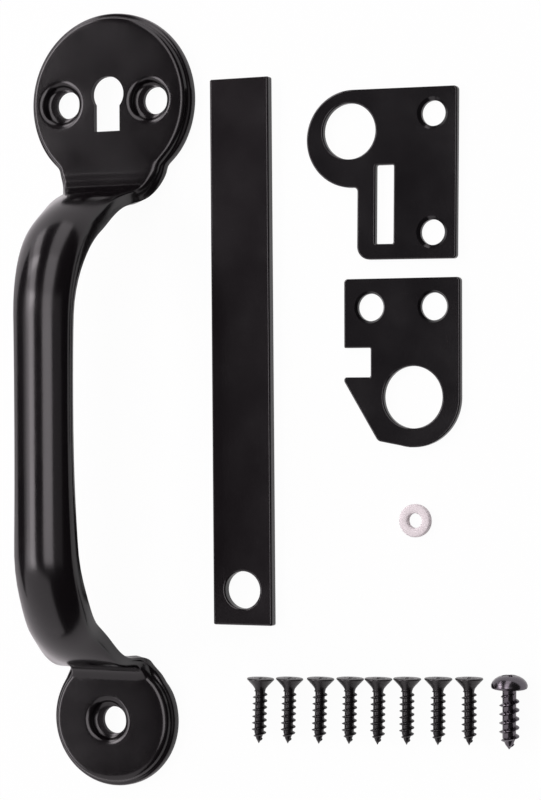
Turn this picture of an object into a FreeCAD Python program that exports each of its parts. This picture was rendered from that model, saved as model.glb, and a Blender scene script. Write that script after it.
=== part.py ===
import FreeCAD, Part
import math
import os

# A thumb latch set as it is laid out: pull handle, latch bar, guide plate, keep plate,
# bush washer, eight countersunk wood screws and one domed pivot screw.
# Every piece is built in a frame of its own and then laid on the floor, z = 0, all in mm.

V = FreeCAD.Vector

# The clearances between things that fit each other
BAR_CLEARANCE = 1.1        # between the bar and the sides of the slot it slides in
NOTCH_CLEARANCE = 2.5      # between the bar and the notch it drops into
BUSH_CLEARANCE = 0.85      # across, between the bush washer and the hole in the bar
HEAD_CATCH = 0.2           # across, how much wider each screw's head is than the hole it holds in

# The pull handle, pressed from sheet
SHEET = 1.8                # thickness of the pressed sheet
DISH = 5.0                 # height of the disc faces over their back rims
TOP_RIM_R = 26.4
TOP_FACE_R = 23.9
TOP_ROUND = 1.6            # rounding where the face turns into the rim
BOTTOM_RIM_R = 20.0
BOTTOM_FACE_R = 18.2
BOTTOM_ROUND = 2.8
DISC_SPACING = 179.4       # from the centre of one disc to the centre of the other
NECK_STEP = 0.12           # how far the neck lies under the disc's face
GRIP_HEIGHT = 48.5         # from the floor to the crown of the grip
GRIP_HALF = 8.5            # half the width of the grip
GRIP_DEPTH = 5.7           # from the crown line to the strap's back edges
GRIP_ROUND = 2.1           # rounding of the strap's front along both sides
GRIP_ARCH_R = 13.0         # radius of the arch across the grip
ARCH_FADE = 8.0            # how much flatter the arch's own side path bends at the shoulders
ARCH_FADE_DEG = 62.0       # slope at which the arch has faded into the flat neck
TOP_CHEEK = 6.4            # where the neck's side walls leave the floor, past the bend's start
BOTTOM_CHEEK = 3.2
CHEEK_LEAN = 7.3           # how far the cut under the side walls leans out over its height
CHEEK_HIGH = 21.0
CHEEK_REACH = 40.0         # how far that cut runs on under the strap
TOP_WAIST = 20.0           # from the bend's start to where the strap is as slim as the grip
BOTTOM_WAIST = 22.0
WAIST_ROUND = 55.0         # rounding of the strap's outline there
SHOULDER_WIDEN = 1.6       # how much wider than the grip the strap is at the foot of its rise
NECK_LAP = 8.0             # how far the strap reaches in under each disc
TOP_NECK_IN = 3.7          # from the top disc's rim in to where the strap bends up
TOP_NECK_RUN = TOP_RIM_R - TOP_NECK_IN
TOP_NECK_HALF = 14.8
TOP_NECK_BEND = 3.2        # radius of that bend
TOP_RISE_DEG = 78.0
TOP_SHOULDER_R = 38.5
BOTTOM_NECK_IN = 6.7       # the same at the bottom disc
BOTTOM_NECK_RUN = BOTTOM_RIM_R - BOTTOM_NECK_IN
BOTTOM_NECK_HALF = 13.8
BOTTOM_NECK_BEND = 3.2
BOTTOM_RISE_DEG = 80.0
BOTTOM_SHOULDER_R = 38.0

# The dimples and openings in the discs
DIMPLE_R = 6.6
DIMPLE_SEAT_R = 4.6
DIMPLE_DEPTH = 1.9
TOP_HOLE_SPACING = 28.2
HOLES_ASIDE = 0.8          # how far the holes sit to the right of the discs' middles
HOLES_DOWN = 0.3           # and below them
KEY_ROUND_R = 5.1
KEY_SLOT_HALF = 4.3
KEY_SLOT_DROP = 10.8       # from the centre of the round part to the foot of the slot
KEY_RISE = 2.1             # how far the round part's centre sits over the disc's centre

# The latch bar
BAR_LENGTH = 155.8
BAR_WIDTH = 18.2
BAR_THICK = 3.2
BAR_CORNER_R = 0.5
BAR_EDGE = 0.6
BAR_HOLE_UP = 10.0         # from the foot of the bar to the centre of its hole

# The two stamped plates
PLATE_THICK = 2.2
PLATE_EDGE = 0.45
PLATE_CORNER_R = 1.1
SINK_R = 4.5               # mouth of the countersink round each screw hole
SINK_DEPTH = 0.9

GUIDE_HEIGHT = 47.6
GUIDE_WIDTH = 29.3
GUIDE_FOOT_R = 3.7
LOOP_R = 13.7
LOOP_REACH = 15.4          # how far the loop stands out beyond the guide's left edge
LOOP_FILLET = 1.2
GUIDE_EYE_R = 7.85
GUIDE_EYE_X = -31.9        # centre of the eye, from the guide's upper right corner
GUIDE_EYE_Y = -11.6
SLOT_X = -21.2             # middle of the slot, from the guide's right edge
SLOT_FOOT = 4.3            # from the guide's foot to the foot of the slot
SLOT_TOP = 21.3            # from the guide's upper edge to the top of the slot
SLOT_CORNER_R = 0.5
GUIDE_HOLE_R = 3.55
GUIDE_HOLE_X = -7.2
GUIDE_HOLE_END = 7.35      # from each screw hole to the plate's nearer end

KEEP_HEIGHT = 47.0
KEEP_WIDTH = 34.3
KEEP_BOW_R = 13.9
KEEP_EYE_R = 8.65
KEEP_HOLE_R = 3.85
KEEP_HOLE_X = -7.9
KEEP_HOLE_Y = -8.0
KEEP_HOLE_SPACING = 18.7
NOTCH_TOP = 19.3           # from the keep's upper edge to the notch
NOTCH_DEPTH = 7.9
NOTCH_ROUND = 0.4          # rounding of the notch's corners
HOOK_LIP = 1.2             # upright flat at the tip of the hook
HOOK_ROUND = 0.7           # rounding of that tip
RAMP_ROUND = 2.0           # rounding at both ends of the ramp's foot
RAMP_FOOT_X = 10.0         # foot of the ramp, from the keep's left edge
RAMP_FOOT_UP = 1.7         # and from its lowest point

# The screws
WOOD_LENGTH = 18.5
WOOD_HEAD_R = 4.05
WOOD_HEAD_RIM = 0.35
WOOD_HEAD_CONE = 2.7
WOOD_CORE_R = 1.35
WOOD_CREST_R = 2.05
WOOD_PITCH = 1.82
WOOD_TURNS = 8
PIVOT_LENGTH = 20.4
PIVOT_HEAD_HIGH = 3.9
PIVOT_CORE_R = 1.85
PIVOT_CREST_R = 2.7
PIVOT_PITCH = 2.4
PIVOT_TURNS = 6
POINT_LENGTH = 3.2
RECESS_HALF = 2.3          # half the span of the cross recess at its mouth
RECESS_WIDE = 0.9
RECESS_DEPTH = 1.7

# The bush washer
BUSH_R = 4.5
BUSH_BORE_R = 2.1
BUSH_THICK = 2.2
BUSH_EDGE = 0.7

# Sizes that follow from the ones above
SLOT_WIDTH = BAR_THICK + 2 * BAR_CLEARANCE
NOTCH_HEIGHT = BAR_THICK + 2 * NOTCH_CLEARANCE
GUIDE_HOLE_SPACING = GUIDE_HEIGHT - 2 * GUIDE_HOLE_END
BAR_HOLE_R = BUSH_R + BUSH_CLEARANCE
PIVOT_HEAD_R = BAR_HOLE_R + HEAD_CATCH / 2
HANDLE_HOLE_R = WOOD_HEAD_R - HEAD_CATCH / 2

# Where each piece lies: x, y and the turn in degrees about the upright
HANDLE_AT = (-49.9, 86.7, 0.37)
BAR_AT = (-7.95, 13.8, 0.48)
GUIDE_AT = (56.7, 86.6, -0.4)
PLATES_APART = 5.1         # between the guide's foot and the keep's upper edge
KEEP_AT = (57.5, GUIDE_AT[1] - GUIDE_HEIGHT - PLATES_APART, 0.1)
BUSH_AT = (44.1, -33.45)
WOOD_AT = [(-1.4, -79.3, -1.8), (7.5, -78.9, -1.8), (16.9, -78.5, -1.8), (25.8, -78.1, -1.2),
           (34.2, -77.8, -0.9), (42.7, -77.4, -0.6), (51.8, -77.0, -0.5), (60.7, -76.6, 0.0)]
PIVOT_AT = (72.6, -74.9, -0.8)


def polygon_face(points):
    return Part.Face(Part.makePolygon(points + [points[0]]))


def turned(profile):
    """A solid turned about the z axis from a list of (radius, height)."""
    face = polygon_face([V(r, 0, z) for r, z in profile])
    return face.revolve(V(0, 0, 0), V(0, 0, 1), 360)


def post(radius, low, high, x=0.0, y=0.0):
    return Part.makeCylinder(radius, high - low, V(x, y, low))


def laid(shape, x, y, turn=0.0):
    """The shape turned about the upright through its own origin, then moved."""
    shape = shape.copy()
    shape.rotate(V(0, 0, 0), V(0, 0, 1), turn)
    shape.translate(V(x, y, 0))
    return shape


def rounded_edges(shape, radius, wanted):
    edges = [e for e in shape.Edges if wanted(e)]
    return shape.makeFillet(radius, edges)


def plate_edges(thick):
    """Picks the edges that run round a flat piece, on its face and on its back."""
    def wanted(edge):
        box = edge.BoundBox
        flat = box.ZLength < 1e-6
        return flat and (abs(box.ZMin) < 1e-6 or abs(box.ZMin - thick) < 1e-6)
    return wanted


def corner(before, at, after, radius):
    """An arc of the given radius in the corner at, and where it starts and ends."""
    a = (before - at).normalize()
    b = (after - at).normalize()
    half = a.getAngle(b) / 2
    back = radius / math.tan(half)
    start = at + a * back
    end = at + b * back
    middle_way = (a + b).normalize()
    centre = at + middle_way * (radius / math.sin(half))
    middle = centre - middle_way * radius
    return start, Part.Arc(start, middle, end).toShape(), end


def rounded_outline(points):
    """A flat face from (x, y, corner radius); a radius of nought keeps the corner sharp."""
    spots = [V(x, y, 0) for x, y, r in points]
    count = len(points)
    edges = []
    starts = []
    for i, (x, y, r) in enumerate(points):
        if r > 0:
            start, arc, end = corner(spots[i - 1], spots[i], spots[(i + 1) % count], r)
            starts.append((start, arc, end))
        else:
            starts.append((spots[i], None, spots[i]))
    for i in range(count):
        start, arc, end = starts[i]
        if arc:
            edges.append(arc)
        edges.append(Part.makeLine(end, starts[(i + 1) % count][0]))
    return Part.Face(Part.Wire(edges))


# The handle's side path, as stretches of three points: start, middle and end

def stretch(station, length, radius):
    """Three stations along one stretch after the given one (run, height, tilt).

    With no radius it runs straight; a positive radius turns it upward, a negative one down."""
    run, height, tilt = station
    found = [station]
    for s in (length / 2, length):
        if radius == 0:
            found.append((run + s * math.cos(tilt), height + s * math.sin(tilt), tilt))
            continue
        now = tilt + s / radius
        found.append((run + radius * (math.sin(now) - math.sin(tilt)),
                      height - radius * (math.cos(now) - math.cos(tilt)), now))
    return found


def rise(neck_run, bend, slope_deg, shoulder):
    """The crown line from inside a disc to the middle of the grip, stretch by stretch."""
    slope = math.radians(slope_deg)
    path = [stretch((neck_run - NECK_LAP, DISH - NECK_STEP, 0.0), NECK_LAP, 0)]
    path.append(stretch(path[-1][2], bend * slope, bend))
    climb = GRIP_HEIGHT - path[-1][2][1] - shoulder * (1 - math.cos(slope))
    path.append(stretch(path[-1][2], climb / math.sin(slope), 0))
    path.append(stretch(path[-1][2], shoulder * slope, -shoulder))
    path.append(stretch(path[-1][2], DISC_SPACING / 2 - path[-1][2][0], 0))
    return path


def side_path(inset):
    """The whole crown line from disc to disc, moved inward by inset, run along -y."""
    top = rise(TOP_NECK_RUN, TOP_NECK_BEND, TOP_RISE_DEG, TOP_SHOULDER_R)
    foot = rise(BOTTOM_NECK_RUN, BOTTOM_NECK_BEND, BOTTOM_RISE_DEG, BOTTOM_SHOULDER_R)
    both = list(top)
    for stations in reversed(foot):
        both.append([(DISC_SPACING - run, height, -tilt) for run, height, tilt in reversed(stations)])
    return [[V(0, -(run + inset * math.sin(tilt)), height - inset * math.cos(tilt))
             for run, height, tilt in stations] for stations in both]


def edge_through(points):
    """A straight edge or an arc through three points."""
    a, m, b = points
    if (m - a).cross(b - a).Length < 1e-7:
        return Part.makeLine(a, b)
    return Part.Arc(a, m, b).toShape()


def side_band(inset):
    """The strap as seen from the side, as wide as the widest neck and more."""
    front = side_path(inset)
    back = side_path(GRIP_DEPTH + (inset > 0))
    edges = [edge_through(p) for p in front]
    edges.append(Part.makeLine(front[-1][2], back[-1][2]))
    edges += [edge_through(p) for p in back]
    edges.append(Part.makeLine(front[0][0], back[0][0]))
    wire = Part.Wire(Part.__sortEdges__(edges))
    reach = TOP_NECK_HALF + 5
    side = Part.Face(wire)
    side.translate(V(-reach, 0, 0))
    return side.extrude(V(2 * reach, 0, 0))


def strap(inset):
    """The strap from disc to disc; with an inset, the hollow between its side walls."""
    body = side_band(inset).common(strap_outline(inset)).removeSplitter()
    body = rounded_edges(body, GRIP_ROUND - inset / 2, crown_edges(body, inset))
    return body.cut(arch_cutters(inset))


def cheek_cuts():
    """What is cut from under the strap's side walls where they come down to the discs."""
    wide = TOP_NECK_HALF + 6
    cuts = []
    for start, way in ((-TOP_NECK_RUN - TOP_CHEEK, -1),
                       (-DISC_SPACING + BOTTOM_NECK_RUN + BOTTOM_CHEEK, 1)):
        outline = [V(-wide, start, -2), V(-wide, start + way * CHEEK_LEAN / 4, CHEEK_HIGH / 3),
                   V(-wide, start + way * CHEEK_LEAN, CHEEK_HIGH),
                   V(-wide, start + way * CHEEK_REACH, CHEEK_HIGH),
                   V(-wide, start + way * CHEEK_REACH, -2)]
        cuts.append(polygon_face(outline).extrude(V(2 * wide, 0, 0)))
    return cuts


def arch_cutters(inset):
    """What lies outside the arch: along the grip, round both shoulders and a way down."""
    radius = GRIP_ARCH_R - inset
    edge = radius * 0.82
    drop = radius - math.sqrt(radius ** 2 - edge ** 2)
    out = TOP_NECK_HALF + 3
    crown = GRIP_HEIGHT - inset
    slope = ARCH_FADE_DEG
    cutters = []
    shoulders = [(TOP_NECK_RUN, TOP_NECK_BEND, TOP_RISE_DEG, TOP_SHOULDER_R, 0, 1),
                 (BOTTOM_NECK_RUN, BOTTOM_NECK_BEND, BOTTOM_RISE_DEG, BOTTOM_SHOULDER_R,
                  -DISC_SPACING, -1)]
    ends = []
    for run, bend, deg, shoulder, disc_y, way in shoulders:
        end = disc_y - way * rise(run, bend, deg, shoulder)[3][2][0]
        ends.append(end)
        across = Part.Arc(V(-edge, end, crown - drop), V(0, end, crown), V(edge, end, crown - drop))
        rest = Part.makePolygon([V(edge, end, crown - drop), V(out, end, crown - drop),
                                 V(out, end, crown + 12), V(-out, end, crown + 12),
                                 V(-out, end, crown - drop), V(-edge, end, crown - drop)])
        face = Part.Face(Part.Wire([across.toShape()] + rest.Edges))
        centre = V(0, end, GRIP_HEIGHT - shoulder - ARCH_FADE)
        cutters.append(face.revolve(centre, V(-way, 0, 0), slope))
        low = face.copy()
        low.rotate(centre, V(-way, 0, 0), slope)
        down = V(0, way * math.cos(math.radians(slope)), -math.sin(math.radians(slope)))
        cutters.append(low.extrude(down * ARCH_FADE))
    face = face.copy()
    cutters.append(face.extrude(V(0, ends[0] - ends[1], 0)))
    return cutters


def strap_outline(inset):
    """The strap's outline from above: wide at the necks, narrow in the grip."""
    wide = TOP_NECK_HALF - inset
    foot = BOTTOM_NECK_HALF - inset
    slim = GRIP_HALF - inset
    start = -(TOP_NECK_RUN - NECK_LAP) + 1
    end = -DISC_SPACING + BOTTOM_NECK_RUN - NECK_LAP - 1
    foot_bend = -DISC_SPACING + BOTTOM_NECK_RUN
    half = [(wide, start, 0), (wide, -TOP_NECK_RUN - 2.0, 3),
            (slim + SHOULDER_WIDEN * 0.6, -TOP_NECK_RUN - 7.5, 6),
            (slim, -TOP_NECK_RUN - TOP_WAIST, WAIST_ROUND), (slim, foot_bend + BOTTOM_WAIST, WAIST_ROUND),
            (slim + SHOULDER_WIDEN, foot_bend + 6.5, 6), (foot, foot_bend + 1.5, 3), (foot, end, 0)]
    other = [(-x, y, r) for x, y, r in reversed(half)]
    face = rounded_outline(half + other)
    face.translate(V(0, 0, -GRIP_HEIGHT))
    return face.extrude(V(0, 0, 2.5 * GRIP_HEIGHT))


def crown_edges(body, inset):
    """Picks the long edges where the strap's front meets its two sides."""
    paths = [edge_through(p) for p in side_path(inset)]
    front = Part.Wire(Part.__sortEdges__(paths))

    def wanted(edge):
        middle = edge.valueAt((edge.FirstParameter + edge.LastParameter) / 2)
        if abs(middle.x) < GRIP_HALF - inset - 0.5:
            return False
        flat = Part.Vertex(V(0, middle.y, middle.z))
        return front.distToShape(flat)[0] < 0.05
    return wanted


def disc(rim_r, face_r, rounding, y):
    body = Part.makeCone(rim_r, face_r, DISH, V(0, y, 0))
    return rounded_edges(body, rounding, lambda e: e.BoundBox.ZMin > DISH - 1e-6)


def disc_hollow(rim_r, face_r, rounding, y):
    flare = (rim_r - face_r) / DISH
    low = 1.0
    high = DISH - SHEET
    wide = rim_r - SHEET + flare * low
    body = Part.makeCone(wide, rim_r - SHEET - flare * high, high + low, V(0, y, -low))
    inner = max(0.4, rounding - SHEET / 2)
    return rounded_edges(body, inner, lambda e: e.BoundBox.ZMin > high - 1e-6)


def dimple_tools(x, y):
    """What a dimple adds under the sheet, what it takes from the face, and its hole."""
    under = DISH - SHEET
    wide = DIMPLE_R + SHEET * 0.5
    seat = DIMPLE_SEAT_R + SHEET * 0.7
    add = turned([(0, under + 0.3), (wide, under + 0.3), (wide, under - 0.01),
                  (seat, under - DIMPLE_DEPTH), (0, under - DIMPLE_DEPTH)])
    take = turned([(0, DISH + 1), (DIMPLE_R, DISH + 1), (DIMPLE_R, DISH),
                   (DIMPLE_SEAT_R, DISH - DIMPLE_DEPTH), (0, DISH - DIMPLE_DEPTH)])
    hole = post(HANDLE_HOLE_R, -1, DISH + 1)
    return [laid(s, x, y) for s in (add, take, hole)]


def keyhole():
    top = KEY_RISE
    slot = Part.makeBox(2 * KEY_SLOT_HALF, KEY_SLOT_DROP, DISH + 2,
                        V(-KEY_SLOT_HALF, top - KEY_SLOT_DROP, -1))
    return post(KEY_ROUND_R, -1, DISH + 1, 0, top).fuse(slot)


def handle():
    outer = disc(TOP_RIM_R, TOP_FACE_R, TOP_ROUND, 0)
    outer = outer.fuse([strap(0), disc(BOTTOM_RIM_R, BOTTOM_FACE_R, BOTTOM_ROUND, -DISC_SPACING)])
    hollow = disc_hollow(TOP_RIM_R, TOP_FACE_R, TOP_ROUND, 0)
    foot = disc_hollow(BOTTOM_RIM_R, BOTTOM_FACE_R, BOTTOM_ROUND, -DISC_SPACING)
    body = outer.cut([hollow, foot, strap(SHEET)] + cheek_cuts())
    under = Part.makeBox(4 * TOP_RIM_R, 2 * DISC_SPACING, DISH,
                         V(-2 * TOP_RIM_R, -1.5 * DISC_SPACING, -DISH))
    body = body.cut(under)
    spots = [(-TOP_HOLE_SPACING / 2, 0), (TOP_HOLE_SPACING / 2, 0), (0, -DISC_SPACING)]
    tools = [dimple_tools(x + HOLES_ASIDE, y - HOLES_DOWN) for x, y in spots]
    body = body.fuse([t[0] for t in tools])
    openings = [laid(keyhole(), HOLES_ASIDE, 0)] + [t[2] for t in tools]
    body = body.cut([t[1] for t in tools] + openings)
    return body.removeSplitter()


def latch_bar():
    """The bar stands with its middle on the origin, its hole near the foot."""
    half = BAR_WIDTH / 2
    tall = BAR_LENGTH / 2
    r = BAR_CORNER_R
    face = rounded_outline([(-half, -tall, r), (half, -tall, r), (half, tall, r), (-half, tall, r)])
    bar = face.extrude(V(0, 0, BAR_THICK))
    bar = bar.cut(post(BAR_HOLE_R, -1, BAR_THICK + 1, 0, BAR_HOLE_UP - tall))
    return rounded_edges(bar, BAR_EDGE, plate_edges(BAR_THICK))


def screw_hole(x, y, radius):
    """A hole with a shallow countersink in the face."""
    sink = turned([(0, PLATE_THICK + 1), (SINK_R, PLATE_THICK + 1), (SINK_R, PLATE_THICK),
                   (radius, PLATE_THICK - SINK_DEPTH), (0, PLATE_THICK - SINK_DEPTH)])
    return [post(radius, -1, PLATE_THICK + 1, x, y), laid(sink, x, y)]


def guide_plate():
    """Laid out from its upper right corner; the loop with the eye stands out at the left."""
    left = -GUIDE_WIDTH
    foot = -GUIDE_HEIGHT
    loop = V(left - LOOP_REACH + LOOP_R, -LOOP_R, 0)
    near = left - LOOP_FILLET
    dx = near - loop.x
    drop = math.sqrt((LOOP_R + LOOP_FILLET) ** 2 - dx ** 2)
    fillet = V(near, loop.y - drop, 0)
    toward = (loop - fillet).normalize()
    meet = fillet + toward * LOOP_FILLET
    side = V(left, fillet.y, 0)
    bend = (toward + V(1, 0, 0)).normalize()
    r = PLATE_CORNER_R
    s = math.sqrt(0.5)
    edges = [
        Part.makeLine(V(-r, 0, 0), V(loop.x, 0, 0)),
        Part.Arc(V(loop.x, 0, 0), loop + V(-LOOP_R, 0, 0), meet).toShape(),
        Part.Arc(meet, fillet + bend * LOOP_FILLET, side).toShape(),
        Part.makeLine(side, V(left, foot + GUIDE_FOOT_R, 0)),
        Part.Arc(V(left, foot + GUIDE_FOOT_R, 0),
                 V(left + GUIDE_FOOT_R * (1 - s), foot + GUIDE_FOOT_R * (1 - s), 0),
                 V(left + GUIDE_FOOT_R, foot, 0)).toShape(),
        Part.makeLine(V(left + GUIDE_FOOT_R, foot, 0), V(-r, foot, 0)),
        Part.Arc(V(-r, foot, 0), V(-r * (1 - s), foot + r * (1 - s), 0), V(0, foot + r, 0)).toShape(),
        Part.makeLine(V(0, foot + r, 0), V(0, -r, 0)),
        Part.Arc(V(0, -r, 0), V(-r * (1 - s), -r * (1 - s), 0), V(-r, 0, 0)).toShape(),
    ]
    plate = Part.Face(Part.Wire(edges)).extrude(V(0, 0, PLATE_THICK))
    half = SLOT_WIDTH / 2
    low = foot + SLOT_FOOT
    c = SLOT_CORNER_R
    slot = rounded_outline([(SLOT_X - half, low, c), (SLOT_X + half, low, c),
                            (SLOT_X + half, -SLOT_TOP, c),
                            (SLOT_X - half, -SLOT_TOP, c)])
    eye = post(GUIDE_EYE_R, -1, PLATE_THICK + 1, GUIDE_EYE_X, GUIDE_EYE_Y)
    plate = plate.cut([slot.extrude(V(0, 0, PLATE_THICK)), eye])
    plate = rounded_edges(plate, PLATE_EDGE, plate_edges(PLATE_THICK))
    holes = []
    for up in (0, GUIDE_HOLE_SPACING):
        holes += screw_hole(GUIDE_HOLE_X, foot + GUIDE_HOLE_END + up, GUIDE_HOLE_R)
    return plate.cut(holes)


def keep_plate():
    """Laid out from its upper right corner; notch and hook at the left, bow at the foot."""
    left = -KEEP_WIDTH
    foot = -KEEP_HEIGHT
    r = PLATE_CORNER_R
    inner = left + NOTCH_DEPTH
    hook = -NOTCH_TOP - NOTCH_HEIGHT
    eye = V(-KEEP_BOW_R, foot + KEEP_BOW_R, 0)
    spread = rounded_outline([
        (0, 0, r), (left, 0, r), (left, -NOTCH_TOP, NOTCH_ROUND), (inner, -NOTCH_TOP, NOTCH_ROUND),
        (inner, hook, NOTCH_ROUND), (left, hook, HOOK_ROUND), (left, hook - HOOK_LIP, HOOK_ROUND),
        (left + RAMP_FOOT_X, foot + RAMP_FOOT_UP, RAMP_ROUND), (eye.x - 1, foot, RAMP_ROUND),
        (eye.x, foot, 0), (eye.x, eye.y, 0), (0, eye.y, 0)])
    bow = Part.makeCylinder(KEEP_BOW_R, PLATE_THICK, eye)
    plate = spread.extrude(V(0, 0, PLATE_THICK)).fuse(bow).removeSplitter()
    plate = plate.cut(post(KEEP_EYE_R, -1, PLATE_THICK + 1, eye.x, eye.y))
    plate = rounded_edges(plate, PLATE_EDGE, plate_edges(PLATE_THICK))
    holes = []
    for across in (0, -KEEP_HOLE_SPACING):
        holes += screw_hole(KEEP_HOLE_X + across, KEEP_HOLE_Y, KEEP_HOLE_R)
    return plate.cut(holes)


def nylon_washer():
    ring = post(BUSH_R, 0, BUSH_THICK).cut(post(BUSH_BORE_R, -1, BUSH_THICK + 1))
    return rounded_edges(ring, BUSH_EDGE, plate_edges(BUSH_THICK))


def cross_recess(top):
    """A tapered cross pocket, mouth at the given height, for a cross point driver."""
    arms = []
    for across in (0, 90):
        arm = polygon_face([V(-RECESS_HALF, 0, 0.5), V(RECESS_HALF, 0, 0.5),
                            V(RECESS_WIDE / 2, 0, -RECESS_DEPTH), V(-RECESS_WIDE / 2, 0, -RECESS_DEPTH)])
        arm.translate(V(0, -RECESS_WIDE / 2, top))
        solid = arm.extrude(V(0, RECESS_WIDE, 0))
        solid.rotate(V(0, 0, 0), V(0, 0, 1), across)
        arms.append(solid)
    return arms[0].fuse(arms[1])


def threaded(head, length, core_r, crest_r, pitch, turns):
    """A screw along -z: head profile from the axis, a ridged shank and a point."""
    profile = list(head)
    tip = -length
    shoulder = tip + POINT_LENGTH
    first = tip + POINT_LENGTH * 0.45 + pitch * (turns - 0.5)
    for k in range(turns):
        z = first - k * pitch
        taper = min(1.0, (z - tip) / POINT_LENGTH)
        core = core_r * taper
        reach = core + (crest_r - core_r) * min(1.0, 0.35 + taper)
        wide = pitch * 0.26
        profile += [(core, z + wide), (reach, z + 0.09), (reach, z - 0.09), (core, z - wide)]
    profile += [(0, tip)]
    return turned(profile)


def wood_screw():
    low = -WOOD_HEAD_RIM - WOOD_HEAD_CONE
    head = [(0, 0), (WOOD_HEAD_R, 0), (WOOD_HEAD_R, -WOOD_HEAD_RIM), (WOOD_CORE_R, low)]
    body = threaded(head, WOOD_LENGTH, WOOD_CORE_R, WOOD_CREST_R, WOOD_PITCH, WOOD_TURNS)
    body = body.cut(cross_recess(0))
    return lying(body, WOOD_HEAD_R, WOOD_CREST_R, WOOD_LENGTH - POINT_LENGTH)


def pivot_screw():
    dome = []
    rim = 1.0
    for i in range(9):
        a = math.radians(90 - 90 * i / 8)
        dome.append((PIVOT_HEAD_R * math.cos(a), (PIVOT_HEAD_HIGH - rim) * (math.sin(a) - 1)))
    dome += [(PIVOT_HEAD_R, -PIVOT_HEAD_HIGH + 0.2), (PIVOT_HEAD_R - 0.2, -PIVOT_HEAD_HIGH),
             (PIVOT_CORE_R, -PIVOT_HEAD_HIGH)]
    body = threaded(dome, PIVOT_LENGTH, PIVOT_CORE_R, PIVOT_CREST_R, PIVOT_PITCH, PIVOT_TURNS)
    body = body.cut(cross_recess(0))
    return lying(body, PIVOT_HEAD_R, PIVOT_CREST_R, PIVOT_LENGTH - POINT_LENGTH)


def lying(body, head_r, crest_r, between):
    """Lays a screw down, head towards +y, resting on its head's rim and its last full ridge."""
    tilt = math.degrees(math.atan2(head_r - crest_r, between))
    body = body.copy()
    body.rotate(V(0, 0, 0), V(1, 0, 0), -90 + tilt)
    body.translate(V(0, 0, -body.BoundBox.ZMin))
    return body


def pieces():
    set_of = {
        "handle": laid(handle(), *HANDLE_AT),
        "latch_bar": laid(latch_bar(), *BAR_AT),
        "guide_plate": laid(guide_plate(), *GUIDE_AT),
        "keep_plate": laid(keep_plate(), *KEEP_AT),
        "nylon_washer": laid(nylon_washer(), *BUSH_AT),
        "pivot_screw": laid(pivot_screw(), *PIVOT_AT),
    }
    one = wood_screw()
    for i, (x, y, turn) in enumerate(WOOD_AT):
        set_of["wood_screw_%d" % (i + 1)] = laid(one, x, y, turn)
    return set_of


def centred(set_of):
    """Moves the whole set so that the middle of its box stands over the origin."""
    box = FreeCAD.BoundBox()
    for shape in set_of.values():
        box.add(shape.optimalBoundingBox(False))
    move = V(-box.Center.x, -box.Center.y, -box.ZMin)
    for shape in set_of.values():
        shape.translate(move)
    print("moved by", move)
    return set_of


os.makedirs("parts", exist_ok=True)
for name, shape in centred(pieces()).items():
    shape.exportStep("parts/%s.step" % name)
    box = shape.optimalBoundingBox(False)
    print(name, shape.ShapeType, len(shape.Solids), shape.isValid(), round(shape.Volume, 1),
          [round(v, 2) for v in (box.XMin, box.XMax, box.YMin, box.YMax, box.ZMin, box.ZMax)])
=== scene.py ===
import bmesh
import bpy
import math
import numpy as np
from mathutils import Matrix, Vector


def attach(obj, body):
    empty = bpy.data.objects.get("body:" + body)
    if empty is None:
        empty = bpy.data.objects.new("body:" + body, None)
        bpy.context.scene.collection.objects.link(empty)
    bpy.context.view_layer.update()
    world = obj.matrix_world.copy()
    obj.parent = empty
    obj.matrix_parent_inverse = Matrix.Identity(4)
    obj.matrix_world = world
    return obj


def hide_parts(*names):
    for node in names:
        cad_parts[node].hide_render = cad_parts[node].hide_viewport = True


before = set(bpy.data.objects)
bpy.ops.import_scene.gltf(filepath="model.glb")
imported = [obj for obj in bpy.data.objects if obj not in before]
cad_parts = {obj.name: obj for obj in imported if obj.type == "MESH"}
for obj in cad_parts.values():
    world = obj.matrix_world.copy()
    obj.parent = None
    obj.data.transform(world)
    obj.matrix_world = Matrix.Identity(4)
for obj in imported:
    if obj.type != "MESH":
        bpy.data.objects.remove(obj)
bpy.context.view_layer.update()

# The black finish of every steel piece is a satin powder coat, sprayed on and baked.
# It flows out to a faint orange peel and picks up a little fine dust on its surface.
mm = 0.001


def new_group(name, inputs, outputs):
    """An empty node group with number, colour and normal sockets, and its two end nodes."""
    group = bpy.data.node_groups.new(name, "ShaderNodeTree")
    for label, kind, value in inputs:
        socket = group.interface.new_socket(label, in_out="INPUT", socket_type=kind)
        socket.default_value = value
    for label, kind in outputs:
        group.interface.new_socket(label, in_out="OUTPUT", socket_type=kind)
    return group, group.nodes.new("NodeGroupInput"), group.nodes.new("NodeGroupOutput")


def feed(tree, value, socket):
    """Links the value into the socket where it is another node's output, and writes it there otherwise."""
    if isinstance(value, bpy.types.NodeSocket):
        tree.links.new(value, socket)
    else:
        socket.default_value = value


def noise(tree, coordinates, scale, detail, roughness=0.5):
    """A noise texture on the given coordinates, its scale counted per metre."""
    texture = tree.nodes.new("ShaderNodeTexNoise")
    texture.inputs["Scale"].default_value = scale
    texture.inputs["Detail"].default_value = detail
    texture.inputs["Roughness"].default_value = roughness
    tree.links.new(coordinates, texture.inputs["Vector"])
    return texture.outputs["Fac"]


def ranged(tree, value, given, wanted):
    """The value mapped from one (low, high) range onto another, and held there."""
    node = tree.nodes.new("ShaderNodeMapRange")
    for label, number in zip(("From Min", "From Max", "To Min", "To Max"), (*given, *wanted)):
        node.inputs[label].default_value = number
    tree.links.new(value, node.inputs["Value"])
    return node.outputs["Result"]


def combined(tree, operation, *values):
    """A math node on the values, each a socket or a plain number."""
    node = tree.nodes.new("ShaderNodeMath")
    node.operation = operation
    for value, socket in zip(values, node.inputs):
        feed(tree, value, socket)
    return node.outputs["Value"]


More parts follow.
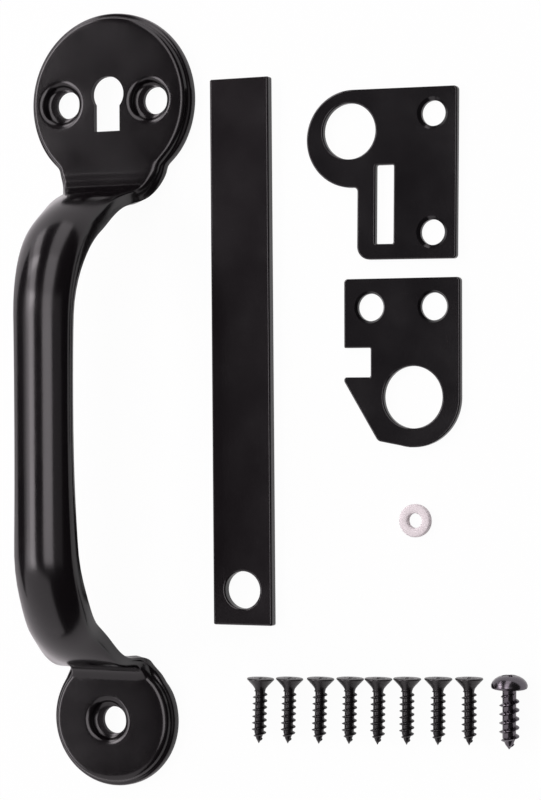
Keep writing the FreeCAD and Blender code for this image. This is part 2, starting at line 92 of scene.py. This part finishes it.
def mixed(tree, blend, factor, first, second):
    """Two colours mixed by a factor, each a socket or a plain colour."""
    node = tree.nodes.new("ShaderNodeMix")
    node.data_type = "RGBA"
    node.blend_type = blend
    for value, label in ((factor, "Factor"), (first, "A"), (second, "B")):
        feed(tree, value, node.inputs[label])
    return node.outputs["Result"]


powder_coat, coat_in, coat_out = new_group(
    "powder_coat",
    [("Colour", "NodeSocketColor", (0.01, 0.01, 0.01, 1)), ("Roughness", "NodeSocketFloat", 0.35),
     ("Peel", "NodeSocketFloat", 0.1)],
    [("Colour", "NodeSocketColor"), ("Roughness", "NodeSocketFloat"), ("Normal", "NodeSocketVector")])
place = powder_coat.nodes.new("ShaderNodeTexCoord").outputs["Object"]
peel = noise(powder_coat, place, scale=900, detail=2)
mottle = noise(powder_coat, place, scale=60, detail=4)
specks = noise(powder_coat, place, scale=3500, detail=2, roughness=0.6)
dust_colour = (0.03, 0.028, 0.03, 1)
dust = ranged(powder_coat, specks, (0.66, 0.8), (0, 0.8))
dusted = mixed(powder_coat, "ADD", dust, coat_in.outputs["Colour"], dust_colour)
unevenness = 0.03
patches = ranged(powder_coat, mottle, (0.3, 0.7), (-1, 1))
uneven = combined(powder_coat, "MULTIPLY_ADD", patches, unevenness, coat_in.outputs["Roughness"])
skin = powder_coat.nodes.new("ShaderNodeBump")
skin.inputs["Distance"].default_value = 0.05 * mm
powder_coat.links.new(coat_in.outputs["Peel"], skin.inputs["Strength"])
powder_coat.links.new(peel, skin.inputs["Height"])
for result, label in ((dusted, "Colour"), (uneven, "Roughness"), (skin.outputs["Normal"], "Normal")):
    powder_coat.links.new(result, coat_out.inputs[label])


def coated(name, colour, roughness, peel_strength):
    """A black powder coated steel finish."""
    material = bpy.data.materials.new(name)
    material.use_nodes = True
    tree = material.node_tree
    shader = tree.nodes["Principled BSDF"]
    coat = tree.nodes.new("ShaderNodeGroup")
    coat.node_tree = powder_coat
    coat.inputs["Colour"].default_value = (*colour, 1)
    coat.inputs["Roughness"].default_value = roughness
    coat.inputs["Peel"].default_value = peel_strength
    for given, taken in (("Colour", "Base Color"), ("Roughness", "Roughness"), ("Normal", "Normal")):
        tree.links.new(coat.outputs[given], shader.inputs[taken])
    return material


# The pull handle is one piece pressed from steel sheet: a dished disc at each end, and between
# them a strap, arched across, that bends up into the grip. Its blank is shaped flat here, x across
# and its length along -y, and is then bent to the handle's line from the side.
sheet = 1.8 * mm
disc_height = 5 * mm
disc_spacing = 179.4 * mm
grip_height = 48.5 * mm
arch_radius = 13 * mm
top_disc = {"flat": 22.4 * mm, "sides": 40, "mouth_angle": math.radians(36), "mouth_at": 17.8 * mm,
            "mouth_spread": 1.05, "neck_run": 20.2 * mm, "bend": 6.5 * mm, "slope": math.radians(84),
            "shoulder": 36 * mm}
foot_disc = {"flat": 15.5 * mm, "sides": 36, "mouth_angle": math.radians(40), "mouth_at": 11.7 * mm,
             "mouth_spread": 1, "neck_run": 11.2 * mm, "bend": 4.5 * mm, "slope": math.radians(87),
             "shoulder": 36 * mm}
handle_at = (-50.0 * mm, 86.498 * mm, 0)
handle_turn = math.radians(0.37)
handle_corner = Matrix.Translation(handle_at) @ Matrix.Rotation(handle_turn, 4, "Z")
near = 0.1 * mm  # how far off its line a point of the blank may be to count as on it


def rise(disc):
    """The bends from a disc's centre up to the level grip, and the level distance that they cover.

    A bend is its length and its radius, which is nought for a straight stretch."""
    bends_radius = disc["bend"] + disc["shoulder"]
    climb = grip_height - disc_height - bends_radius * (1 - math.cos(disc["slope"]))
    reach = disc["neck_run"] + bends_radius * math.sin(disc["slope"]) + climb / math.tan(disc["slope"])
    bends = [(disc["neck_run"], 0),
             (disc["bend"] * disc["slope"], disc["bend"]),
             (climb / math.sin(disc["slope"]), 0),
             (disc["shoulder"] * disc["slope"], -disc["shoulder"])]
    return bends, reach


up, up_reach = rise(top_disc)
down, down_reach = rise(foot_disc)
side_line = up + [(disc_spacing - up_reach - down_reach, 0)] + list(reversed(down))
blank_length = sum(length for length, radius in side_line)
blank_mm = blank_length / mm


def bent(x, along, over):
    """A point of the blank taken to its place: along the side line, and over (or under) it."""
    run, height, tilt = 0.0, disc_height, 0.0
    for i, (length, radius) in enumerate(side_line):
        part = along if i == len(side_line) - 1 else min(along, length)
        along -= part
        if radius:
            after = tilt + part / radius
            run += radius * (math.sin(after) - math.sin(tilt))
            height += radius * (math.cos(tilt) - math.cos(after))
            tilt = after
        else:
            run += part * math.cos(tilt)
            height += part * math.sin(tilt)
        if along <= 0:
            break
    return Vector((x, -(run - over * math.sin(tilt)), max(height + over * math.cos(tilt), 0)))


def alone(piece):
    """Leaves the piece as the only one selected."""
    bpy.ops.object.select_all(action="DESELECT")
    piece.select_set(True)
    bpy.context.view_layer.objects.active = piece


def edit(piece):
    """Opens the piece in edit mode with nothing selected, ready for its edges to be picked."""
    alone(piece)
    bpy.ops.object.mode_set(mode="EDIT")
    bpy.ops.mesh.select_all(action="DESELECT")
    bpy.ops.mesh.select_mode(type="EDGE")


def pick_edges(piece, wanted, more=False):
    """Selects the edges that the test accepts, in edit mode, beside what is selected or in place of it."""
    if not more:
        bpy.ops.mesh.select_all(action="DESELECT")
    shape = bmesh.from_edit_mesh(piece.data)
    for edge in shape.edges:
        if wanted(edge):
            edge.select_set(True)
    bmesh.update_edit_mesh(piece.data)


def apply(piece, kind, **settings):
    """Adds a modifier with the given settings and applies it."""
    alone(piece)
    modifier = piece.modifiers.new(kind.lower(), kind)
    for label, value in settings.items():
        setattr(modifier, label, value)
    bpy.ops.object.modifier_apply(modifier=modifier.name)


def open_mouth(piece, disc, centre_y, side):
    """Draws a disc's outline straight where the strap joins it, below (-1) or above (1) its centre."""
    half = disc["flat"] * math.sin(disc["mouth_angle"]) + near
    pick_edges(piece, lambda edge: all(
        abs(v.co.x) < half and (v.co.y - centre_y) * side > 0
        and abs(math.hypot(v.co.x, v.co.y - centre_y) - disc["flat"]) < near for v in edge.verts))
    bpy.ops.transform.resize(value=(disc["mouth_spread"], 0, 1),
                             center_override=(0, centre_y + side * disc["mouth_at"], 0))


bpy.ops.object.select_all(action="DESELECT")
bpy.ops.mesh.primitive_circle_add(vertices=top_disc["sides"], radius=top_disc["flat"], fill_type="NGON")
handle = bpy.context.object
handle.name = "pull_handle"
edit(handle)
bpy.ops.mesh.primitive_circle_add(vertices=foot_disc["sides"], radius=foot_disc["flat"], fill_type="NGON",
                                  location=(0, -blank_length, 0))
open_mouth(handle, top_disc, 0, -1)

# A row across the strap is (distance from a disc's centre, half the strap's width there), in mm.
top_rows = [(19.3, 13.7), (20.8, 13), (22.4, 12.3), (24, 11.8), (25.5, 11.3), (27.2, 10.6), (29, 9.8),
            (31, 9.3), (34.5, 8.9), (40, 8.75), (46, 8.7), (54, 8.5), (65, 8.2), (80, 7.45), (95, 7)]
foot_rows = [(100, 6.95), (80, 7.5), (60, 8.25), (48, 8.35), (40, 8.95), (34, 9.35), (28, 9.4), (23, 9.3),
             (19, 9.3), (17.2, 9.4), (15.8, 9.6), (14.4, 10.1)]
half = top_disc["flat"] * math.sin(top_disc["mouth_angle"]) * top_disc["mouth_spread"] / mm
for along, wide in top_rows + [(blank_mm - run, wide) for run, wide in foot_rows]:
    bpy.ops.mesh.extrude_region_move()
    bpy.ops.transform.resize(value=(wide / half, 0, 1), center_override=(0, -along * mm, 0))
    half = wide
open_mouth(handle, foot_disc, -blank_length, 1)
last_row = foot_rows[-1][0] * mm - blank_length
pick_edges(handle, lambda edge: all(abs(v.co.y - last_row) < 0.1 * near for v in edge.verts), more=True)
bpy.ops.mesh.bridge_edge_loops()


def outline_ways(piece):
    """For each point of the outline, keyed by its place, the level way out of the blank."""
    shape = bmesh.from_edit_mesh(piece.data)
    ways = {}
    for vert in shape.verts:
        rim = [e for e in vert.link_edges if e.is_boundary]
        if len(rim) != 2:
            continue
        a, b = (e.other_vert(vert).co for e in rim)
        along = (a - b).normalized()
        way = Vector((along.y, -along.x, 0)).normalized()
        inside = sum((f.calc_center_median() for f in vert.link_faces), Vector()) / len(vert.link_faces)
        ways[tuple(vert.co)] = way if way.dot(vert.co - inside) > 0 else -way
    evening_rounds = 5
    for turn in range(evening_rounds):
        old = dict(ways)
        for vert in shape.verts:
            if tuple(vert.co) in old:
                beside = [e.other_vert(vert).co for e in vert.link_edges if e.is_boundary]
                mix = 2 * old[tuple(vert.co)] + sum((old[tuple(co)] for co in beside), Vector())
                ways[tuple(vert.co)] = mix.normalized()
    return ways


def turn_down(piece, stops, out, drop, left=1):
    """Extrudes the blank's outline and sets it out and down, by amounts in mm at stops along the blank.

    The left side gets its own share of the drop."""
    ways = outline_ways(piece)
    pick_edges(piece, lambda edge: edge.is_boundary)
    bpy.ops.mesh.extrude_region_move()
    shape = bmesh.from_edit_mesh(piece.data)
    for vert in shape.verts:
        if vert.select:
            way = ways[tuple(vert.co)]
            along = -vert.co.y / mm
            vert.co += way * float(np.interp(along, stops, out)) * mm
            side = 1 if way.x > 0 else 1 + (left - 1) * min(1, -2 * way.x)
            vert.co.z -= float(np.interp(along, stops, drop)) * side * mm
    bmesh.update_edit_mesh(piece.data)


# The outline turns down in five steps: a soft shoulder, a step down to the rim and the rim's edge.
rim_stops = [20, 25, 30, 46, blank_mm - 40, blank_mm - 19, blank_mm - 15, blank_mm - 11]
rim_steps = [
    {"out": [1.2, 1.2, 1.2, 1.2, 1.2, 1.2, 1.3, 1.4],
     "drop": [0.15, 0.06, 0, 0, 0, 0, 0.05, 0.15], "left": 0},
    {"out": [0.9, 0.6, 0.4, 0.35, 0.35, 0.5, 0.9, 1.1],
     "drop": [0.45, 0.9, 1.2, 0.9, 0.9, 1.2, 0.8, 0.45], "left": 0},
    {"out": [0.2, 0.25, 0.2, 0.15, 0.15, 0.25, 0.3, 0.3],
     "drop": [1.35, 1.1, 0.9, 0.7, 0.7, 0.8, 1.2, 1.35], "left": 1.4},
    {"out": [1.25, 0.7, 0.3, 0.1, 0.1, 0.3, 0.9, 1.25],
     "drop": [-0.1, 0.3, 0.6, 0.5, 0.5, 0.5, 0.2, -0.1]},
    {"out": [0.1, 0.35, 0.2, 0.05, 0.05, 0.2, 0.2, 0.1],
     "drop": [2.4, 0.9, 0.6, 0.6, 0.55, 0.45, 1.2, 2.4]}]
for step in rim_steps:
    turn_down(handle, rim_stops, **step)
bpy.ops.mesh.select_all(action="SELECT")
bpy.ops.mesh.normals_make_consistent(inside=False)
bpy.ops.object.mode_set(mode="OBJECT")
if sum(f.normal.z for f in handle.data.polygons) < 0:
    handle.data.flip_normals()
apply(handle, "SUBSURF", levels=2, render_levels=2)

# The strap sways a little to the left between the discs, and its arch eases in past each neck.
sway_stops = [20, 30, 40, 50, 60, 70, 80, blank_mm - 72, blank_mm - 60, blank_mm - 52, blank_mm - 44,
              blank_mm - 36, blank_mm - 28, blank_mm - 18, blank_mm - 11]
sway_by = [0, -0.5, -1.1, -1.4, -1.5, -1.15, -0.9, -0.85, -0.8, -1.4, -2.4, -2.5, -2, -1, 0]
sway_evened_over = np.arange(-4, 5)
arch_stops = [27, 52, blank_mm - 44, blank_mm - 20]
for vert in handle.data.vertices:
    along = -vert.co.y
    start = np.interp(along / mm, arch_stops, [0, 1, 1, 0])
    ease = start * start * (3 - 2 * start)
    arch = arch_radius - math.sqrt(arch_radius ** 2 - min(abs(vert.co.x), 0.9 * arch_radius) ** 2)
    aside = float(np.interp(along / mm + sway_evened_over, sway_stops, sway_by).mean()) * mm
    vert.co = handle_corner @ bent(vert.co.x + aside, along, vert.co.z - arch * ease)
apply(handle, "SOLIDIFY", thickness=sheet, offset=-1, use_even_offset=True)
for vert in handle.data.vertices:
    vert.co.z = max(vert.co.z, 0)
apply(handle, "BEVEL", width=0.28 * mm, segments=2, limit_method="ANGLE", angle_limit=math.radians(55))


def drawn(points):
    """A line through (radius, height) points in the x-z plane, drawn by extruding one vertex."""
    bpy.ops.object.select_all(action="DESELECT")
    bpy.ops.mesh.primitive_plane_add(size=1 * mm)
    piece = bpy.context.object
    bpy.ops.object.mode_set(mode="EDIT")
    bpy.ops.mesh.merge(type="CENTER")
    bpy.ops.mesh.select_mode(type="VERT")
    bpy.ops.mesh.select_all(action="SELECT")
    bpy.ops.transform.translate(value=(points[0][0] * mm, 0, points[0][1] * mm))
    for (r0, z0), (r1, z1) in zip(points, points[1:]):
        step = ((r1 - r0) * mm, 0, (z1 - z0) * mm)
        bpy.ops.mesh.extrude_region_move(TRANSFORM_OT_translate={"value": step})
    bpy.ops.object.mode_set(mode="OBJECT")
    return piece


def spun(name, points, steps=64):
    """A closed turned piece from its outline, from the axis round to the axis again."""
    piece = drawn(points)
    piece.name = name
    bpy.ops.object.mode_set(mode="EDIT")
    bpy.ops.mesh.select_all(action="SELECT")
    bpy.ops.mesh.spin(steps=steps, angle=2 * math.pi, center=(0, 0, 0), axis=(0, 0, 1))
    bpy.ops.mesh.select_all(action="SELECT")
    bpy.ops.mesh.remove_doubles(threshold=0.001 * mm)
    bpy.ops.mesh.normals_make_consistent(inside=False)
    bpy.ops.object.mode_set(mode="OBJECT")
    return piece


def laid(piece, matrix):
    """Takes the piece's mesh to its place; its object stays at the origin."""
    piece.data.transform(matrix)
    piece.data.update()


def block(size, at):
    """A box of the given size round the given middle, in mm."""
    bpy.ops.object.select_all(action="DESELECT")
    bpy.ops.mesh.primitive_cube_add(size=1, scale=[side * mm for side in size],
                                    location=[way * mm for way in at])
    bpy.ops.object.transform_apply()
    return bpy.context.object


def joined(pieces):
    """Makes the pieces one, under the first one's name."""
    bpy.ops.object.select_all(action="DESELECT")
    for piece in pieces:
        piece.select_set(True)
    bpy.context.view_layer.objects.active = pieces[0]
    if len(pieces) > 1:
        bpy.ops.object.join()
    return pieces[0]


def work(piece, tools, operation):
    """Joins the tools and adds them to the piece or cuts them from it."""
    tool = joined(tools)
    apply(piece, "BOOLEAN", operation=operation, solver="EXACT", object=tool)
    bpy.data.objects.remove(tool)


def faced(piece, material, crease):
    """Gives the piece its finish, and shades it smooth where its faces meet under the crease angle."""
    piece.data.materials.clear()
    piece.data.materials.append(material)
    alone(piece)
    bpy.ops.object.shade_smooth_by_angle(angle=math.radians(crease))


# Each screw hole lies in a dimple that holds a countersunk head. A cup is added under the disc, the
# dimple is sunk in it a little to the hole's left, and then the holes and the keyhole are punched.
hole_places = [(-13.8, -0.3), (14.5, -0.3), (0.2, -179.7)]
hole_line = [(0, 7), (3.95, 7), (3.95, -1), (0, -1)]
cup_line = [(0, 4.2), (7.6, 4.2), (7.1, 3.1), (6.1, 1.9), (5.6, 1.7), (0, 1.7)]
lip_line = [(7.9, 5.01), (7.5, 4.96), (7.1, 4.88), (6.7, 4.76), (6.35, 4.58), (6.1, 4.32), (5.95, 4),
            (5.85, 3.75)]
seat_line = [(5.6, 3.5), (5.2, 3.33), (4.8, 3.2), (4.4, 3.12), (0, 3.05)]
sink_line = [(0, 7), (7.9, 7)] + lip_line + seat_line
dimple_place = Matrix.Translation((-1.5 * mm, 0, 0)) @ Matrix.Diagonal((0.93, 0.93, 1, 1))


def at_holes(name, line, steps=72, aside=Matrix.Identity(4)):
    """A turned tool for each screw hole of the handle, laid where it works."""
    tools = []
    for x, y in hole_places:
        tool = spun(name, line, steps)
        laid(tool, handle_corner @ Matrix.Translation((x * mm, y * mm, 0)) @ aside)
        tools.append(tool)
    return tools


work(handle, at_holes("cup", cup_line, 64, dimple_place), "UNION")
work(handle, at_holes("sink", sink_line, 72, dimple_place), "DIFFERENCE")
punch_high = 12
punch_middle = 4
key_round = 5.2
bpy.ops.object.select_all(action="DESELECT")
bpy.ops.mesh.primitive_cylinder_add(vertices=72, radius=key_round * mm, depth=punch_high * mm,
                                    location=(-0.2 * mm, 2.1 * mm, punch_middle * mm))
key = bpy.context.object
bpy.ops.object.transform_apply()
work(key, [block((8.2, 10.8, punch_high), (-0.4, -3.3, punch_middle))], "UNION")
laid(key, handle_corner)
work(handle, at_holes("hole", hole_line) + [key], "DIFFERENCE")
faced(handle, coated("handle_black", (0.0028, 0.002, 0.0026), roughness=0.17, peel_strength=0.1), crease=35)
apply(handle, "WEIGHTED_NORMAL", keep_sharp=True, weight=50)
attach(handle, "root")
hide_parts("handle")

# The latch bar is a length of flat steel bar with its edges broken and one round hole at its
# foot, where it turns on the pivot screw.


def finish(node, material):
    """Gives a piece of the frame its finish."""
    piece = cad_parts[node]
    piece.data.materials.clear()
    piece.data.materials.append(material)


finish("latch_bar", coated("bar_black", (0.007, 0.0056, 0.0066), roughness=0.18, peel_strength=0.1))

# The guide plate and the keep plate are stamped from thick sheet, with countersunk holes for
# their screws and a large eye each for a padlock.
plate_black = coated("plate_black", (0.0042, 0.0036, 0.0044), roughness=0.18, peel_strength=0.1)
finish("guide_plate", plate_black)
finish("keep_plate", plate_black)

# The bush washer is moulded from milky nylon, its edges softly rounded. It is slipped into the
# latch bar's hole, and the pivot screw turns in it.
washer_at = (43.25 * mm, -33.65 * mm, 0)
washer_line = [(2.1, 0), (4.2, 0), (4.45, 0.12), (4.6, 0.5), (4.6, 1.6), (4.45, 1.95), (4.1, 2.1),
               (2.5, 2.1), (2.2, 1.98), (2.1, 1.7), (2.1, 0)]
washer = spun("bush_washer", washer_line)
laid(washer, Matrix.Translation(washer_at))
nylon = bpy.data.materials.new("white_nylon")
nylon.use_nodes = True
tree = nylon.node_tree
shader = tree.nodes["Principled BSDF"]
shader.inputs["Roughness"].default_value = 0.5
nylon_place = tree.nodes.new("ShaderNodeTexCoord").outputs["Object"]
cloud = ranged(tree, noise(tree, nylon_place, scale=400, detail=3), (0.35, 0.65), (0, 1))
milk = mixed(tree, "MIX", cloud, (0.7, 0.66, 0.665, 1), (0.75, 0.71, 0.715, 1))
tree.links.new(milk, shader.inputs["Base Color"])
faced(washer, nylon, crease=50)
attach(washer, "root")
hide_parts("nylon_washer")

# The wood screws are rolled from wire and blackened: a countersunk head with a cross recess, then
# a thread that starts under the head and runs out at a gimlet point. They lie beside one another.
wood_sizes = {
    "head": [(0, 0), (3.7, 0), (3.85, -0.12), (3.85, -0.38), (2.2, -2.1), (1.62, -2.9), (1.42, -3.6),
             (1.35, -4.4)],
    "core": 1.35, "crest": 2.08, "pitch": 1.82, "turns": 8, "length": 18.5, "point": 3.2,
    "recess_half": 2.1, "recess_wide": 0.9, "recess_deep": 2.2, "recess_turn": 15}


def screw_body(name, sizes):
    """A screw along -z without its thread: a turned body with a cross recess in its head."""
    core, length, point = sizes["core"], sizes["length"], sizes["point"]
    gimlet = [(core, -length + point), (0.55 * core, -length + 0.4 * point), (0, -length)]
    body = spun(name, sizes["head"] + gimlet, 40)
    above = 0.5  # how far the cutter stands over the head
    foot_share = 0.3  # its length at the foot, next to its length at the top
    arms = []
    for across in (sizes["recess_turn"], sizes["recess_turn"] + 90):
        arm = block((2 * sizes["recess_half"], sizes["recess_wide"], sizes["recess_deep"]),
                    (0, 0, above - sizes["recess_deep"] / 2))
        for vert in arm.data.vertices:
            if vert.co.z < 0:
                vert.co.x *= foot_share
        laid(arm, Matrix.Rotation(math.radians(across), 4, "Z"))
        arms.append(arm)
    work(arms[0], arms[1:], "UNION")
    work(body, arms[:1], "DIFFERENCE")
    return body


def thread(sizes):
    """The ridge of a right-hand thread, closed at its ends.

    It fades in under the head and out at the point, and its foot is sunk in the core."""
    core, crest, pitch, turns = sizes["core"], sizes["crest"], sizes["pitch"], sizes["turns"]
    length, point = sizes["length"], sizes["point"]
    sunk = 0.2
    foot = 0.28 * pitch  # half the ridge's width at its foot
    flat = 0.09  # half the ridge's width at its crest
    ridge = drawn([(core - sunk, -foot), (crest, -flat), (crest, flat), (core - sunk, foot),
                   (core - sunk, -foot)])
    bpy.ops.object.mode_set(mode="EDIT")
    bpy.ops.mesh.select_all(action="SELECT")
    bpy.ops.mesh.remove_doubles(threshold=0.001 * mm)
    bpy.ops.object.mode_set(mode="OBJECT")
    apply(ridge, "SCREW", axis="Z", screw_offset=pitch * mm, iterations=turns, steps=36, render_steps=36)
    bpy.ops.object.mode_set(mode="EDIT")
    bpy.ops.mesh.select_all(action="SELECT")
    bpy.ops.mesh.fill_holes(sides=4)
    bpy.ops.mesh.normals_make_consistent(inside=False)
    bpy.ops.object.mode_set(mode="OBJECT")
    lowest_turn = -length + 0.35 * point
    for vert in ridge.data.vertices:
        up = vert.co.z / mm
        z = up + lowest_turn
        radius = math.hypot(vert.co.x, vert.co.y) / mm
        tip = min(1.0, (z + length) / point)
        high = min(1.0, 0.35 + 0.65 * tip, 0.25 + 0.75 * max(0, (turns * pitch - up)) / pitch)
        share = (radius - core + sunk) / (crest - core + sunk)
        wanted = core * tip - sunk * tip + share * (sunk + (crest - core)) * high
        vert.co.x *= wanted / radius
        vert.co.y *= wanted / radius
        vert.co.z = z * mm
    return ridge


def lying_screw(name, sizes, tilt=0):
    """A whole screw laid down with its head toward +y, and its head's rim on the floor."""
    piece = joined([screw_body(name, sizes), thread(sizes)])
    laid(piece, Matrix.Rotation(math.radians(-90 + tilt), 4, "X"))
    lowest = min(point.co.z for point in piece.data.vertices)
    laid(piece, Matrix.Translation((0, 0, -lowest)))
    return piece


# The screws' places are counted in mm from the picture's middle, each with its turn in degrees.
picture_middle = Vector((-0.855 * mm, -0.202 * mm, 0))


def screw_place(x, y, turn):
    """Where a screw lies in the set, as a matrix for its mesh."""
    at = Vector((x, y, 0)) * mm + picture_middle
    return Matrix.Translation(at) @ Matrix.Rotation(math.radians(turn), 4, "Z")


wood = lying_screw("wood_screw", wood_sizes)
faced(wood, coated("screw_black", (0.004, 0.0032, 0.0037), roughness=0.3, peel_strength=0.15), crease=40)
wood_places = [(-1.4, -78.8, -1.8), (7.5, -78.4, -1.8), (16.9, -78.0, -1.8), (25.8, -77.6, -1.2),
               (34.2, -77.3, -0.9), (42.7, -76.9, -0.6), (51.8, -76.5, -0.5), (60.7, -76.1, 0.0)]
for i, (x, y, turn) in enumerate(wood_places):
    name = "wood_screw_%d" % (i + 1)
    piece = bpy.data.objects.new("visual_" + name, wood.data.copy())
    bpy.context.scene.collection.objects.link(piece)
    laid(piece, screw_place(x, y, turn))
    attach(piece, "root")
    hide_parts(name)
bpy.data.objects.remove(wood)

# The pivot screw is a stouter pan head screw, rolled from wire too, with a brighter black finish.
# It is driven through the washer into the gate, and the latch bar turns on it.
pan_sizes = {
    "head": [(0, 0), (1.6, -0.12), (2.9, -0.5), (3.9, -1.1), (4.6, -1.85), (4.95, -2.6), (5, -3.2),
             (4.85, -3.6), (4.4, -3.8), (2.2, -3.85), (1.9, -4.3)],
    "core": 1.85, "crest": 2.75, "pitch": 2.4, "turns": 6, "length": 20.4, "point": 3.2,
    "recess_half": 2.65, "recess_wide": 1.1, "recess_deep": 2.6, "recess_turn": 30}
pan = lying_screw("pivot_pan_screw", pan_sizes, tilt=2)
laid(pan, screw_place(72.6, -74.6, -0.8))
bright = coated("pivot_black", (0.13, 0.12, 0.135), roughness=0.2, peel_strength=0.1)
bright.node_tree.nodes["Principled BSDF"].inputs["Metallic"].default_value = 1
faced(pan, bright, crease=40)
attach(pan, "root")
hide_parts("pivot_screw")

# The set lies on a white studio floor that shows its own white to the camera. It mirrors in the
# black pieces only round the set, and further off the pieces see a darker floor.
bpy.ops.object.select_all(action="DESELECT")
bpy.ops.mesh.primitive_plane_add(size=6, location=(0, 0, -0.05 * mm))
floor = bpy.context.object
floor.name = "studio_floor"
white = bpy.data.materials.new("studio_white")
white.use_nodes = True
tree = white.node_tree
paper = tree.nodes["Principled BSDF"]
paper.inputs["Base Color"].default_value = (0.85, 0.85, 0.85, 1)
paper.inputs["Roughness"].default_value = 0.9
glow = tree.nodes.new("ShaderNodeEmission")
glow.inputs["Strength"].default_value = 1
from_set = tree.nodes.new("ShaderNodeVectorMath")
from_set.operation = "DISTANCE"
from_set.inputs[1].default_value = (60 * mm, 0, 0)
tree.links.new(tree.nodes.new("ShaderNodeTexCoord").outputs["Object"], from_set.inputs[0])
near_set = ranged(tree, from_set.outputs["Value"], (0.125, 0.15), (0.5, 0.03))
seen = tree.nodes.new("ShaderNodeLightPath").outputs
mirrored = combined(tree, "MULTIPLY", seen["Is Glossy Ray"], near_set)
either = combined(tree, "MAXIMUM", seen["Is Camera Ray"], mirrored)
through = combined(tree, "MAXIMUM", either, seen["Is Transmission Ray"])
white_share = 0.96
blend = tree.nodes.new("ShaderNodeMixShader")
tree.links.new(combined(tree, "MULTIPLY", through, white_share), blend.inputs["Fac"])
tree.links.new(paper.outputs["BSDF"], blend.inputs[1])
tree.links.new(glow.outputs["Emission"], blend.inputs[2])
tree.links.new(blend.outputs["Shader"], tree.nodes["Material Output"].inputs["Surface"])
floor.data.materials.append(white)

# Soft boxes light the set: rows of long ones at its left and overhead, faint ones at their sides
# and right, and one at its foot. The world adds a little light from all round.
lamp_far = 2.4


def softbox(name, way, level, upright, radiance, tip):
    """A soft light that faces the floor's middle, its way there tipped toward +y."""
    lamp = bpy.data.lights.new(name, "AREA")
    lamp.shape = "RECTANGLE"
    lamp.color = (1, 0.93, 0.97)
    lamp.size = level
    lamp.size_y = upright
    lamp.energy = radiance * math.pi * level * upright
    piece = bpy.data.objects.new(name, lamp)
    bpy.context.scene.collection.objects.link(piece)
    over = Matrix.Rotation(math.radians(-tip), 4, "X")
    facing = Vector(way).to_track_quat("Z", "Y").to_matrix().to_4x4()
    piece.matrix_world = over @ Matrix.Translation(Vector(way) * lamp_far) @ facing


def band(name, left, right, radiance, tip=0, reach=18.2):
    """A soft box across the set, from one angle off the upright to another.

    It is tipped toward the set's head, and reaches to each side by its own angle."""
    middle = math.radians((left + right) / 2)
    wide = 2 * lamp_far * math.tan(math.radians((right - left) / 2))
    long = 2 * lamp_far * math.tan(math.radians(reach))
    softbox(name, (math.sin(middle), 0, math.cos(middle)), long, wide, radiance, tip)


for tip, share in ((0, 1), (36, 0.75), (72, 0.55)):
    band("light_left_%d" % tip, -47, -33, 4.9 * share, tip)
    band("light_left_edge_%d" % tip, -56, -47, 2.2 * share, tip)
    band("light_above_%d" % tip, -10.5, 12.5, 3.2 * share, tip)
band("light_left_rim", -64, -56, 0.8)
band("light_right", 17, 35, 0.3)
band("light_foot", -66, -2, 0.9, tip=-58, reach=32)
world = bpy.data.worlds.new("studio")
bpy.context.scene.world = world
world.use_nodes = True
world.node_tree.nodes["Background"].inputs["Color"].default_value = (0.055, 0.05, 0.053, 1)

# The camera stands over the set, leaning 23 degrees to its right, as in the photograph, and
# looks at the picture's middle.
camera_lean = math.radians(23)
camera_far = 720 * mm
camera = bpy.data.cameras.new("camera")
camera.lens = 113.9
eye = bpy.data.objects.new("camera", camera)
bpy.context.scene.collection.objects.link(eye)
eye.location = picture_middle + camera_far * Vector((math.sin(camera_lean), 0, math.cos(camera_lean)))
eye.rotation_euler = (0, camera_lean, 0)
bpy.context.scene.camera = eye
bpy.context.scene.view_settings.view_transform = "Standard"
